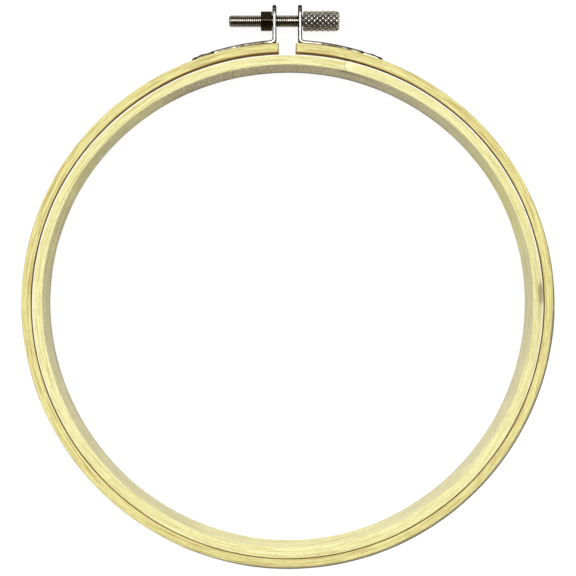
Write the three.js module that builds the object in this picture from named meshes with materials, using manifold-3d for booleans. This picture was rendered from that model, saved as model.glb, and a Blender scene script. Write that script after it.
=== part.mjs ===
// Round bamboo embroidery hoop. An inner ring sits in a split outer ring, and a thumb screw
// between two riveted brackets draws the split together to hold the fabric.
// Millimetres, +Z up. The hoop lies on its back at z = 0, with its clamp towards +Y and the
// knob towards +X. The origin is the centre of the base of the hoop's bounding box.

import * as THREE from "three";
import { mergeVertices } from "three/addons/utils/BufferGeometryUtils.js";
import Module from "manifold-3d";

const wasm = await Module();
wasm.setup();

// Rings
const innerRingDiameter = 152.8;
const innerRingWall = 3.2;
const ringPlay = 0.3;
const outerRingWall = 2.95;
const ringDepth = 9;
const ringEdgeRound = 0.45;
const splitWidth = 5.1;
// The clamp pulls the rings this share wider across it and this share shorter along it.
const outOfRound = 0.0075;

// Brackets, each one strip of sheet: a lug that stands up, a foot and a narrower tongue
const bracketSheet = 1.2;
const bracketWidth = 6.6;
const bracketSeatGap = 0.15;
const lugSpacing = 6.6;
const lugAboveScrew = 4.7;
const lugCornerRadius = 3;
const bendInsideRadius = 0.7;
const footReach = 22.7;
const footEndWidth = 4.8;
const tongueReach = 29;
const tongueWidth = 4;
const tongueEndRadius = 1.2;

// Rivets, two through each bracket, set back from the ends of its foot and its tongue
const footRivetSetback = 9.1;
const tongueRivetSetback = 3.3;
const rivetShankDiameter = 1.8;
const rivetHeadDiameter = 3;
const rivetHeadHeight = 0.35;
const rivetTailDiameter = 2.8;
const rivetTailHeight = 0.4;
const rivetPlay = 0.2;

// Thumb screw and its nut
const screwAboveRing = 7.9;
const threadDiameter = 3.5;
const threadPitch = 0.6;
const threadDepth = 0.36;
const screwTailLength = 9.65;
const screwEndChamfer = 0.4;
const screwPlay = 0.5;
const nutAcrossFlats = 5.4;
const nutThickness = 3.4;
// The nut has a corner this many degrees off the front, towards the hoop.
const nutTurn = 11;
const nutSeatGap = 0.15;
const knobDiameter = 6;
const knobLength = 11;
const knobSeatGap = 0.35;
const knobInnerChamfer = 0.3;
const knobOuterChamfer = 0.6;
const knobBoreDepth = 7.5;
const knobBorePlay = 0.15;
const knurlDepth = 0.32;
const knurlLength = 1.7;
const knurlsAround = 10;

// Facets
const ringFacets = 120;
const edgeFacets = 1;
const footFacets = 4;
const smallFacets = 16;
const threadFacets = 12;

// Radii and heights that follow
const innerRingOuterRadius = innerRingDiameter / 2;
const innerRingInnerRadius = innerRingOuterRadius - innerRingWall;
const outerRingInnerRadius = innerRingOuterRadius + ringPlay;
const outerRingOuterRadius = outerRingInnerRadius + outerRingWall;
const footInnerRadius = outerRingOuterRadius + bracketSeatGap;
const footOuterRadius = footInnerRadius + bracketSheet;
const clampMiddle = ringDepth / 2;
const acrossFactor = 1 + outOfRound;
const alongFactor = 1 - outOfRound;
const screwHeight = outerRingOuterRadius * alongFactor + screwAboveRing;
const lugTop = screwHeight + lugAboveScrew;
const lugInnerFace = lugSpacing / 2;
const lugOuterFace = lugInnerFace + bracketSheet;
const hoopBottom = outerRingOuterRadius * alongFactor;
const hoopCentreY = (hoopBottom - lugTop) / 2;
const threadRadius = threadDiameter / 2;
const screwHoleRadius = threadRadius + screwPlay;
const nutInnerFace = lugOuterFace + nutSeatGap;
const nutOuterFace = nutInnerFace + nutThickness;
const knobInnerFace = lugOuterFace + knobSeatGap;
const screwTailEnd = -(nutOuterFace + screwTailLength);
const knobBoreRadius = threadRadius - threadDepth + knobBorePlay;

// A cutting tool runs this much past the faces that it cuts.
const cutMargin = 1;

const bamboo = { color: 0xe8dc9a, roughness: 0.55, metalness: 0 };
const materials = {
  innerRing: new THREE.MeshStandardMaterial({ ...bamboo, color: 0xf0eaa8 }),
  outerRing: new THREE.MeshStandardMaterial(bamboo),
  bracket: new THREE.MeshStandardMaterial({ color: 0xbdb9ac, roughness: 0.3, metalness: 1 }),
  rivet: new THREE.MeshStandardMaterial({ color: 0xa8a498, roughness: 0.4, metalness: 1 }),
  nut: new THREE.MeshStandardMaterial({ color: 0x8d897c, roughness: 0.35, metalness: 1 }),
  screw: new THREE.MeshStandardMaterial({ color: 0xb0ab9c, roughness: 0.3, metalness: 1 }),
  knob: new THREE.MeshStandardMaterial({ color: 0xc4c0b2, roughness: 0.3, metalness: 1 }),
};

// A closed geometry as a solid that can be joined and cut.
function solidOf(geometry) {
  const bare = geometry.clone();
  bare.deleteAttribute("normal");
  bare.deleteAttribute("uv");
  const merged = mergeVertices(bare);
  return new wasm.Manifold(new wasm.Mesh({
    numProp: 3,
    vertProperties: new Float32Array(merged.attributes.position.array),
    triVerts: new Uint32Array(merged.index.array),
  }));
}

function geometryOf(solid) {
  const { vertProperties, triVerts } = solid.getMesh();
  const geometry = new THREE.BufferGeometry();
  geometry.setAttribute("position", new THREE.Float32BufferAttribute(vertProperties, 3));
  geometry.setIndex(Array.from(triVerts));
  geometry.computeVertexNormals();
  return geometry;
}

function geometryFrom(points, triangles) {
  const geometry = new THREE.BufferGeometry();
  geometry.setAttribute("position", new THREE.Float32BufferAttribute(points.flat(), 3));
  geometry.setIndex(triangles.flat());
  geometry.computeVertexNormals();
  return geometry;
}

// Distance from the hoop's centre to the curve that is nominally at a radius, seen at an
// angle from +Y.
function hoopRadius(radius, angle) {
  return radius / Math.hypot(Math.sin(angle) / acrossFactor, Math.cos(angle) / alongFactor);
}

function hoopHeightAt(radius, x) {
  return alongFactor * Math.sqrt(radius ** 2 - (x / acrossFactor) ** 2);
}

// A solid cylinder along X, from one x to another.
function barAlongX(radius, fromX, toX, facets = smallFacets) {
  const bar = new THREE.CylinderGeometry(radius, radius, toX - fromX, facets);
  bar.rotateZ(-Math.PI / 2);
  bar.translate((fromX + toX) / 2, 0, 0);
  return bar;
}

// A profile of [distance from the axis, x] pairs turned about the X axis.
function turnedAboutX(profile, facets = smallFacets) {
  const points = profile.map(([radius, x]) => new THREE.Vector2(radius, x));
  const geometry = new THREE.LatheGeometry(points, facets);
  geometry.rotateZ(-Math.PI / 2);
  return geometry;
}

// Both rings are one bent strip with softened edges.
function ringGeometry(innerRadius, outerRadius, depth) {
  const corner = Math.min(ringEdgeRound, (outerRadius - innerRadius) / 3);
  const section = new THREE.Shape();
  section.absarc(outerRadius - corner, corner, corner, -Math.PI / 2, 0);
  section.absarc(outerRadius - corner, depth - corner, corner, 0, Math.PI / 2);
  section.absarc(innerRadius + corner, depth - corner, corner, Math.PI / 2, Math.PI);
  section.absarc(innerRadius + corner, corner, corner, Math.PI, 1.5 * Math.PI);
  section.closePath();
  const points = section.getPoints(edgeFacets);
  const geometry = new THREE.LatheGeometry(points, ringFacets);
  geometry.rotateX(Math.PI / 2);
  geometry.scale(acrossFactor, alongFactor, 1);
  return geometry;
}

// Where a rivet goes through the ring and the bracket: angles from +Y.
const rivetAngles = [footReach - footRivetSetback, tongueReach - tongueRivetSetback].map(
  (reach) => Math.asin(reach / outerRingOuterRadius));

// A round tool through the wall at an angle, between two nominal radii.
function radialTool(radius, angle, fromRadius, toRadius) {
  const from = hoopRadius(fromRadius, angle);
  const to = hoopRadius(toRadius, angle);
  const tool = new THREE.CylinderGeometry(radius, radius, to - from, smallFacets);
  tool.translate(0, (from + to) / 2, 0);
  tool.rotateZ(-angle);
  tool.translate(0, 0, clampMiddle);
  return solidOf(tool);
}

function outerRingSolid() {
  let ring = solidOf(ringGeometry(outerRingInnerRadius, outerRingOuterRadius, ringDepth));
  const split = new THREE.BoxGeometry(
    splitWidth, outerRingWall + 4 * cutMargin, ringDepth + 2 * cutMargin);
  split.translate(0, hoopBottom - outerRingWall / 2, clampMiddle);
  ring = ring.subtract(solidOf(split));
  const holeRadius = rivetShankDiameter / 2 + rivetPlay;
  const recessRadius = rivetTailDiameter / 2 + rivetPlay;
  const recessDepth = rivetTailHeight + 2 * rivetPlay;
  for (const angle of rivetAngles) {
    for (const side of [-1, 1]) {
      ring = ring.subtract(radialTool(holeRadius, side * angle,
        outerRingInnerRadius - cutMargin, outerRingOuterRadius + cutMargin));
      ring = ring.subtract(radialTool(recessRadius, side * angle,
        outerRingInnerRadius - cutMargin, outerRingInnerRadius + recessDepth));
    }
  }
  return ring;
}

// The bracket's edge-on outline for the right side: up the lug, round the bend, along the
// ring, and back over the outside.
function bracketOutline() {
  const bendX = lugOuterFace + bendInsideRadius;
  const bendY = hoopHeightAt(footOuterRadius + bendInsideRadius, bendX);
  const bendTurn = 1.5 * Math.PI - Math.atan2(bendX, bendY);
  const arcStart = (radius, x) => Math.acos(x / (radius * acrossFactor));
  const footStart = bendX - (bendInsideRadius + bracketSheet) * Math.sin(1.5 * Math.PI - bendTurn);
  const outline = new THREE.Shape();
  outline.moveTo(lugInnerFace, lugTop + cutMargin);
  outline.absarc(bendX, bendY, bendInsideRadius + bracketSheet, Math.PI, bendTurn);
  outline.absellipse(0, 0, footInnerRadius * acrossFactor, footInnerRadius * alongFactor,
    arcStart(footInnerRadius, footStart), arcStart(footInnerRadius, tongueReach), true);
  outline.absellipse(0, 0, footOuterRadius * acrossFactor, footOuterRadius * alongFactor,
    arcStart(footOuterRadius, tongueReach), arcStart(footOuterRadius, bendX), false);
  outline.absarc(bendX, bendY, bendInsideRadius, bendTurn, Math.PI, true);
  outline.lineTo(lugOuterFace, lugTop + cutMargin);
  return outline.getPoints(footFacets);
}

// Seen along X, the strip has a lug with two rounded corners.
function bracketFace() {
  const half = bracketWidth / 2;
  const corner = Math.min(lugCornerRadius, half);
  const face = new THREE.Shape();
  face.moveTo(-half, 0);
  face.lineTo(half, 0);
  face.absarc(half - corner, lugTop - corner, corner, 0, Math.PI / 2);
  face.absarc(corner - half, lugTop - corner, corner, Math.PI / 2, Math.PI);
  return face;
}

// Seen from above, the foot tapers from the bend and ends in a tongue with rounded corners.
function bracketPlan() {
  const half = bracketWidth / 2;
  const footEndHalf = footEndWidth / 2;
  const tongueHalf = tongueWidth / 2;
  const corner = Math.min(tongueEndRadius, tongueHalf);
  const taperStart = lugOuterFace + bendInsideRadius;
  const plan = new THREE.Shape();
  plan.moveTo(0, -half - cutMargin);
  plan.lineTo(taperStart, -half - cutMargin);
  plan.lineTo(taperStart, -half);
  plan.lineTo(footReach, -footEndHalf);
  plan.lineTo(footReach, -tongueHalf);
  plan.absarc(tongueReach - corner, corner - tongueHalf, corner, -Math.PI / 2, 0);
  plan.absarc(tongueReach - corner, tongueHalf - corner, corner, 0, Math.PI / 2);
  plan.lineTo(footReach, tongueHalf);
  plan.lineTo(footReach, footEndHalf);
  plan.lineTo(taperStart, half);
  plan.lineTo(taperStart, half + cutMargin);
  plan.lineTo(0, half + cutMargin);
  return plan;
}

function bracketSolid(side) {
  const outline = bracketOutline().map((point) => new THREE.Vector2(side * point.x, point.y));
  const strip = new THREE.ExtrudeGeometry(new THREE.Shape(outline),
    { depth: bracketWidth + 2 * cutMargin, bevelEnabled: false });
  strip.translate(0, 0, clampMiddle - bracketWidth / 2 - cutMargin);

  const face = new THREE.ExtrudeGeometry(bracketFace(),
    { depth: tongueReach + cutMargin, bevelEnabled: false, curveSegments: footFacets });
  face.rotateY(side * Math.PI / 2);
  face.translate(0, 0, clampMiddle);

  const plan = new THREE.ExtrudeGeometry(bracketPlan(),
    { depth: lugTop + 2 * cutMargin, bevelEnabled: false, curveSegments: footFacets });
  plan.rotateX(-Math.PI / 2);
  if (side < 0) plan.rotateY(Math.PI);
  plan.translate(0, 0, clampMiddle);

  const hole = barAlongX(screwHoleRadius, lugInnerFace - cutMargin, lugOuterFace + cutMargin);
  if (side < 0) hole.rotateZ(Math.PI);
  hole.translate(0, screwHeight, clampMiddle);

  let bracket = solidOf(strip).intersect(solidOf(face)).intersect(solidOf(plan));
  bracket = bracket.subtract(solidOf(hole));
  for (const angle of rivetAngles) {
    bracket = bracket.subtract(radialTool(rivetShankDiameter / 2 + rivetPlay, side * angle,
      footInnerRadius - cutMargin, footOuterRadius + cutMargin));
  }
  return bracket;
}

// A rivet stands on its axis, with its tail at y = 0 and its domed head on top.
function rivetGeometry(angle) {
  const tailFace = hoopRadius(outerRingInnerRadius, angle) + rivetPlay / 2;
  const headSeat = hoopRadius(footOuterRadius, angle) + rivetPlay / 2 - tailFace;
  const shank = rivetShankDiameter / 2;
  const head = rivetHeadDiameter / 2;
  const profile = [
    [0, 0],
    [rivetTailDiameter / 2, 0],
    [rivetTailDiameter / 2, rivetTailHeight / 2],
    [shank, rivetTailHeight],
    [shank, headSeat],
    [head, headSeat],
  ];
  const domeSteps = 3;
  for (let step = 1; step <= domeSteps; step += 1) {
    const turn = (step / domeSteps) * Math.PI / 2;
    profile.push([
      step === domeSteps ? 0 : head * Math.cos(turn),
      headSeat + rivetHeadHeight * Math.sin(turn),
    ]);
  }
  const points = profile.map(([radius, y]) => new THREE.Vector2(radius, y));
  return { geometry: new THREE.LatheGeometry(points, smallFacets), tailFace };
}

// A hexagon nut about the X axis, chamfered at both faces.
function nutSolid() {
  const cornerRadius = nutAcrossFlats / Math.sqrt(3);
  const flatRadius = nutAcrossFlats / 2;
  const chamfer = (cornerRadius - flatRadius) / 2;
  const body = barAlongX(cornerRadius, 0, nutThickness, 6);
  body.rotateX(THREE.MathUtils.degToRad(nutTurn));
  const turned = turnedAboutX([
    [0, 0],
    [flatRadius, 0],
    [cornerRadius + chamfer, 3 * chamfer],
    [cornerRadius + chamfer, nutThickness - 3 * chamfer],
    [flatRadius, nutThickness],
    [0, nutThickness],
  ], 24);
  const bore = barAlongX(screwHoleRadius, -cutMargin, nutThickness + cutMargin);
  return solidOf(body).intersect(solidOf(turned)).subtract(solidOf(bore));
}

// A right-hand V thread about the X axis. Each turn has a root row and a crest row, and a
// row joins the next turn's row where it comes round.
function threadGeometry(length) {
  const turns = Math.ceil(length / threadPitch);
  const rootRadius = threadRadius - threadDepth;
  const points = [];
  const triangles = [];
  for (let row = 0; row < 2 * turns; row += 1) {
    for (let step = 0; step < threadFacets; step += 1) {
      const turn = (step / threadFacets) * 2 * Math.PI;
      const radius = row % 2 === 0 ? rootRadius : threadRadius;
      const x = threadPitch * (row / 2 + step / threadFacets);
      points.push([x, radius * Math.cos(turn), radius * Math.sin(turn)]);
    }
  }
  const at = (row, step) => (step < threadFacets
    ? row * threadFacets + step
    : (row + 2) * threadFacets + step - threadFacets);
  for (let row = 0; row < 2 * turns - 3; row += 1) {
    for (let step = 0; step < threadFacets; step += 1) {
      triangles.push([at(row, step), at(row, step + 1), at(row + 1, step + 1)]);
      triangles.push([at(row, step), at(row + 1, step + 1), at(row + 1, step)]);
    }
  }
  const lastRow = 2 * turns - 3;
  const startEdge = [at(1, 0), at(2, 0)];
  const endEdge = [at(lastRow, 0), at(lastRow + 1, 0)];
  for (let step = threadFacets - 1; step >= 0; step -= 1) startEdge.push(at(0, step));
  for (let step = threadFacets; step >= 1; step -= 1) endEdge.push(at(lastRow, step));
  const startCentre = points.push([-threadPitch / 2, 0, 0]) - 1;
  const endCentre = points.push([threadPitch * (turns + 0.5), 0, 0]) - 1;
  startEdge.forEach((point, index) => {
    triangles.push([startCentre, point, startEdge[(index + 1) % startEdge.length]]);
  });
  endEdge.forEach((point, index) => {
    triangles.push([endCentre, endEdge[(index + 1) % endEdge.length], point]);
  });
  return geometryFrom(points, triangles);
}

// The rod is threaded from its tail to the knob, and a plain pin goes on into the knob.
function screwRodSolid() {
  const threadEnd = knobInnerFace - knobSeatGap / 2;
  const pinEnd = knobInnerFace + knobBoreDepth - knobSeatGap;
  const pinRadius = threadRadius - threadDepth;
  const overrun = 2 * threadPitch;
  const thread = threadGeometry(threadEnd - screwTailEnd + 3 * overrun);
  thread.translate(screwTailEnd - overrun, 0, 0);
  const envelope = turnedAboutX([
    [0, screwTailEnd],
    [threadRadius - screwEndChamfer, screwTailEnd],
    [threadRadius + cutMargin, screwTailEnd + screwEndChamfer + cutMargin],
    [threadRadius + cutMargin, threadEnd],
    [0, threadEnd],
  ]);
  const pin = barAlongX(pinRadius, threadEnd - cutMargin, pinEnd);
  return solidOf(thread).intersect(solidOf(envelope)).add(solidOf(pin));
}

// Crossed grooves leave a raised diamond at every second point of a grid on the barrel.
function knobSolid() {
  const radius = knobDiameter / 2;
  const columns = 2 * knurlsAround;
  const barrelLength = knobLength - knobInnerChamfer - knobOuterChamfer;
  const rows = 2 * Math.max(1, Math.round(barrelLength / knurlLength));
  const circles = [{ x: 0, radius: () => radius - knobInnerChamfer }];
  for (let row = 0; row <= rows; row += 1) {
    const x = knobInnerChamfer + barrelLength * (row / rows);
    circles.push({ x, radius: (column) => radius - ((row + column) % 2 ? knurlDepth : 0) });
  }
  circles.push({ x: knobLength, radius: () => radius - knobOuterChamfer });

  const points = circles.flatMap((circle) => Array.from({ length: columns }, (_, column) => {
    const turn = (column / columns) * 2 * Math.PI;
    const distance = circle.radius(column);
    return [circle.x, distance * Math.cos(turn), distance * Math.sin(turn)];
  }));
  const at = (row, column) => row * columns + (column % columns);
  const triangles = [];
  for (let row = 0; row < circles.length - 1; row += 1) {
    for (let column = 0; column < columns; column += 1) {
      const corners = [at(row, column), at(row, column + 1),
        at(row + 1, column + 1), at(row + 1, column)];
      const split = (row + column) % 2 ? 0 : 1;
      const [a, b, c, d] = [0, 1, 2, 3].map((corner) => corners[(corner + split) % 4]);
      triangles.push([a, b, c], [a, c, d]);
    }
  }
  const innerCentre = points.push([0, 0, 0]) - 1;
  const outerCentre = points.push([knobLength, 0, 0]) - 1;
  for (let column = 0; column < columns; column += 1) {
    triangles.push([innerCentre, at(0, column + 1), at(0, column)]);
    triangles.push([outerCentre, at(circles.length - 1, column),
      at(circles.length - 1, column + 1)]);
  }
  const bore = barAlongX(knobBoreRadius, -cutMargin, knobBoreDepth);
  return solidOf(geometryFrom(points, triangles)).subtract(solidOf(bore));
}

function namedMesh(name, geometry, material) {
  const mesh = new THREE.Mesh(geometry, material);
  mesh.name = name;
  return mesh;
}

function addRivets(hoop, side) {
  const sideName = side < 0 ? "left" : "right";
  rivetAngles.forEach((angle, index) => {
    const place = index === 0 ? "foot" : "tongue";
    const { geometry, tailFace } = rivetGeometry(angle);
    const rivet = namedMesh(`${sideName}_${place}_rivet`, geometry, materials.rivet);
    const turn = side * angle;
    rivet.position.set(tailFace * Math.sin(turn), tailFace * Math.cos(turn), clampMiddle);
    rivet.rotation.z = -turn;
    hoop.add(rivet);
  });
}

const hoop = new THREE.Group();
hoop.position.y = hoopCentreY;

hoop.add(namedMesh("inner_ring",
  ringGeometry(innerRingInnerRadius, innerRingOuterRadius, ringDepth), materials.innerRing));
hoop.add(namedMesh("outer_ring", geometryOf(outerRingSolid()), materials.outerRing));
hoop.add(namedMesh("left_bracket", geometryOf(bracketSolid(-1)), materials.bracket));
hoop.add(namedMesh("right_bracket", geometryOf(bracketSolid(1)), materials.bracket));
addRivets(hoop, -1);
addRivets(hoop, 1);

const clampScrew = new THREE.Group();
clampScrew.position.set(0, screwHeight, clampMiddle);
hoop.add(clampScrew);

const nut = namedMesh("captive_nut", geometryOf(nutSolid()), materials.nut);
nut.position.x = -nutOuterFace;
clampScrew.add(nut);

clampScrew.add(namedMesh("screw_rod", geometryOf(screwRodSolid()), materials.screw));

const knob = namedMesh("knurled_knob", geometryOf(knobSolid()), materials.knob);
knob.position.x = knobInnerFace;
clampScrew.add(knob);

export default hoop;
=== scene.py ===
"""A round bamboo embroidery hoop with a knurled thumb screw, lying on a pale floor.

The geometry functions work in millimetres with the hoop's centre at x = y = 0 and the back
face at z = 0. mesh_piece() moves their points into the frame and turns them to metres.
"""

import math

import bmesh
import bpy
import numpy as np
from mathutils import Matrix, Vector, noise
from mathutils.geometry import tessellate_polygon


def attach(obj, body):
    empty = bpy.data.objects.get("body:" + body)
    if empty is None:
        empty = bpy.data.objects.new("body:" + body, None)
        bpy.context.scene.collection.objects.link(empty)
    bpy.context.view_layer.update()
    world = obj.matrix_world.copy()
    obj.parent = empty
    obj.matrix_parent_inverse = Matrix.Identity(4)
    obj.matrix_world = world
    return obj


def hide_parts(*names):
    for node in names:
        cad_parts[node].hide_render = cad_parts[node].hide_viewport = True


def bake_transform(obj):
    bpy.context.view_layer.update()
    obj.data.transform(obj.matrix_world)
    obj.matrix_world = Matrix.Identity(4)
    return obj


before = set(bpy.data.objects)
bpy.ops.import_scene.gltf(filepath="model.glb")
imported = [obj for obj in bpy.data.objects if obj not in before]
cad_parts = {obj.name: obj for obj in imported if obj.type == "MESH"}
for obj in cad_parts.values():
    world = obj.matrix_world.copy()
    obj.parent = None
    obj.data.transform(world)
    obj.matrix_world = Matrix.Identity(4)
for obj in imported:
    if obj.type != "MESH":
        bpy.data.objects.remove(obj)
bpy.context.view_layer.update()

MM = 0.001

# Rings. The radii are those of each ring's inner side, and both rings are ovals.
INNER_RING_RADIUS = 73.2
INNER_RING_WALL = 3.26
OUTER_RING_RADIUS = 76.64
OUTER_RING_WALL = 3.0
RING_DEPTH = 9.0
SPLIT_WIDTH = 5.1
ACROSS = 1.0075
ALONG = 0.9925
HOOP_CENTRE_Y = -6.3
CLAMP_MIDDLE = RING_DEPTH / 2
GRID_STEP = 0.62

# The glued joint of the inner ring. Distances along the ring are measured at SCARF_RADIUS.
SCARF_RADIUS = 75
SCARF_TURN = math.asin(17.2 / SCARF_RADIUS)
SCARF_FINE_STEP = 0.16
SCARF_FINE_STEPS = 60

# The sides by the sign of x: their names and the bodies that their metal rides on
SIDES = {-1: ("left", "outer_hoop"), 1: ("right", "right_clamp")}

# Brackets
SHEET = 1.2
BRACKET_WIDTH = 6.6
FOOT_END_WIDTH = 4.8
LUG_ROUNDING = 0.38
FOOT_ROUNDING = 0.42
LUG_INNER_FACE = 3.3
LUG_TOP = 91.653
LUG_CORNER = 3.0
BEND_INSIDE = 0.7
FOOT_RADIUS = 79.8
FOOT_REACH = 22.7
TONGUE_REACH = 29.0
TONGUE_WIDTH = 4.0
TONGUE_CORNER = 1.2
RIVET_REACHES = {"foot": 13.6, "tongue": 25.7}
RIVET_HOLE_RADIUS = 1.1

# How dull and dark the plating is along each bracket's foot and tongue, from 0 to 1
DULL_PLATING_REACHES = [6.0, 9.0, 15.0, 21.5, 23.2, 28.0]
DULL_PLATING = {-1: [0.5, 0.8, 0.7, 0.4, 0.8, 0.9], 1: [0.2, 0.5, 0.8, 0.8, 0.1, 0.1]}

# Thumb screw
SCREW_HEIGHT = 86.953
THREAD_RADIUS = 1.75
THREAD_PITCH = 0.6
THREAD_DEPTH = 0.36
SCREW_TAIL_END = -17.7
THREAD_END = 4.7
PIN_END = 11.95
SCREW_HOLE_RADIUS = 2.25
NUT_INNER_FACE = -4.65
NUT_THICKNESS = 3.4
NUT_ACROSS_FLATS = 5.4
NUT_TURN = 11
KNOB_START = 4.85
KNOB_LENGTH = 11.0
KNOB_RADIUS = 3.0
KNOB_BORE_RADIUS = 1.54
KNOB_BORE_DEPTH = 7.5
KNURL_LENGTH = 1.7
KNURLS_AROUND = 10
KNURL_DEPTH = 0.44

# Camera
CAMERA_PLACE = (-1.5, HOOP_CENTRE_Y, 261)
CAMERA_ROLL = -0.12
CAMERA_LENS = 52.39
CAMERA_SHIFT = (0.0088, 0.0303)

# Stage, in metres, and how much of its white glows by itself
FLOOR_SIZE = 6.0
BACKDROP_RADIUS = 3.0
BACKDROP_CURVE = 0.3
BACKDROP_HEIGHT = 0.56
STAGE_GLOW_SHARE = 0.85
STAGE_GLOW = 1.07
STUDIO_LEAN = -14


# Camera, lamps, floor and backdrop


def add_object(name, data):
    piece = bpy.data.objects.new(name, data)
    bpy.context.scene.collection.objects.link(piece)
    return piece


def make_camera():
    """The photograph's view: almost over the hoop's centre, looking straight down."""
    camera = add_object("camera", bpy.data.cameras.new("camera"))
    camera.location = Vector(CAMERA_PLACE) * MM
    camera.rotation_euler = (0, 0, math.radians(CAMERA_ROLL))
    camera.data.sensor_width = 36
    camera.data.lens = CAMERA_LENS
    camera.data.shift_x, camera.data.shift_y = CAMERA_SHIFT
    camera.data.clip_start = 0.01
    camera.data.clip_end = 50
    bpy.context.scene.camera = camera


def make_sun(name, strength, spread, tilt, azimuth=0, seen_in="diffuse", skipped=None):
    """A soft lamp. Tilt is degrees off the vertical, azimuth degrees from +Y towards +X. It
    is seen in diffuse or glossy light and doesn't light the skipped object."""
    lamp = bpy.data.lights.new(name, "SUN")
    lamp.energy = strength
    lamp.angle = math.radians(spread)
    sun = add_object(name, lamp)
    side, lean = math.radians(azimuth), math.radians(tilt)
    towards = Vector((math.sin(side) * math.sin(lean), math.cos(side) * math.sin(lean),
                      math.cos(lean)))
    sun.rotation_euler = towards.to_track_quat("Z", "Y").to_euler()
    sun.visible_diffuse = seen_in == "diffuse"
    sun.visible_glossy = seen_in == "glossy"
    if skipped:
        group = bpy.data.collections.new(f"{name}_skips")
        group.objects.link(skipped)
        group.collection_objects[0].light_linking.link_state = "EXCLUDE"
        sun.light_linking.receiver_collection = group


def make_world():
    """A studio with pale walls at the horizon, a dark ceiling and a dim panel overhead, all
    leant a little towards the clamp."""
    world = bpy.data.worlds.new("studio")
    bpy.context.scene.world = world
    world.use_nodes = True
    nodes, link = world.node_tree.nodes, world.node_tree.links.new
    nodes.clear()
    lean = nodes.new("ShaderNodeVectorRotate")
    lean.rotation_type = "X_AXIS"
    lean.inputs["Angle"].default_value = math.radians(STUDIO_LEAN)
    split = nodes.new("ShaderNodeSeparateXYZ")
    ramp = nodes.new("ShaderNodeValToRGB")
    background = nodes.new("ShaderNodeBackground")
    link(nodes.new("ShaderNodeTexCoord").outputs["Generated"], lean.inputs["Vector"])
    link(lean.outputs["Vector"], split.inputs[0])
    link(split.outputs["Z"], ramp.inputs["Fac"])
    link(ramp.outputs["Color"], background.inputs["Color"])
    link(background.outputs["Background"],
         nodes.new("ShaderNodeOutputWorld").inputs["Surface"])
    ramp.color_ramp.interpolation = "EASE"
    stops = ramp.color_ramp.elements
    stops[0].position, stops[0].color = 0.0, (1.2, 1.2, 1.2, 1)
    stops[1].position, stops[1].color = 0.32, (0.012, 0.011, 0.009, 1)
    for position, level in ((0.12, 0.9), (0.8, 0.014), (1.0, 0.06)):
        stop = stops.new(position)
        stop.color = (level, level, 0.95 * level, 1)


def stage_white():
    """The white of floor and backdrop. Seen by the camera or in metal, part of it glows."""
    g = Graph("stage_white")
    g.set(Base_Color=(0.94, 0.94, 0.935, 1), Roughness=0.9, Specular_IOR_Level=0.0)
    rays = g.add("ShaderNodeLightPath").outputs
    seen = rays["Is Camera Ray"]
    for name in ("Is Glossy Ray", "Is Transmission Ray"):
        seen = g.math("ADD", seen, rays[name])
    share = g.math("MULTIPLY", seen, STAGE_GLOW_SHARE)
    share.node.use_clamp = True
    white = g.add("ShaderNodeEmission")
    white.inputs["Color"].default_value = (1, 1, 0.995, 1)
    white.inputs["Strength"].default_value = STAGE_GLOW
    mixed = g.add("ShaderNodeMixShader")
    g.feed(mixed.inputs["Fac"], share)
    g.feed(mixed.inputs[1], g.shader.outputs["BSDF"])
    g.feed(mixed.inputs[2], white.outputs["Emission"])
    g.feed(g.output.inputs["Surface"], mixed.outputs[0])
    return g.material


def stage_piece(name, points, faces, material):
    mesh = bpy.data.meshes.new(name)
    mesh.from_pydata(points, [], faces)
    mesh.shade_smooth()
    mesh.materials.append(material)
    piece = add_object(name, mesh)
    return piece


def make_floor(material):
    size, low = FLOOR_SIZE, -0.02 * MM
    corners = [(-size, -size, low), (size, -size, low), (size, size, low), (-size, size, low)]
    return stage_piece("floor", corners, [(0, 1, 2, 3)], material)


def make_backdrop(material):
    """A low round wall far off that curves up out of the floor. It casts no shadow and takes
    no light from the hoop."""
    columns = 96
    profile = []
    for turn in np.radians(np.arange(0, 91, 10)):
        profile.append((BACKDROP_RADIUS - BACKDROP_CURVE * (1 - math.sin(turn)),
                        BACKDROP_CURVE * (1 - math.cos(turn))))
    profile.append((BACKDROP_RADIUS, BACKDROP_HEIGHT))
    points = []
    for reach, up in profile:
        for turn in np.linspace(0, math.tau, columns, endpoint=False):
            points.append((reach * math.cos(turn), reach * math.sin(turn), up))
    wall = stage_piece("backdrop", points, grid_faces(len(profile), columns), material)
    wall.visible_diffuse = False
    wall.visible_shadow = False


# Materials


def srgb(red, green, blue):
    """A colour written as 0 to 255 picture values."""
    def linear(value):
        value /= 255
        return value / 12.92 if value <= 0.04045 else ((value + 0.055) / 1.055) ** 2.4
    return (linear(red), linear(green), linear(blue), 1.0)


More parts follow.
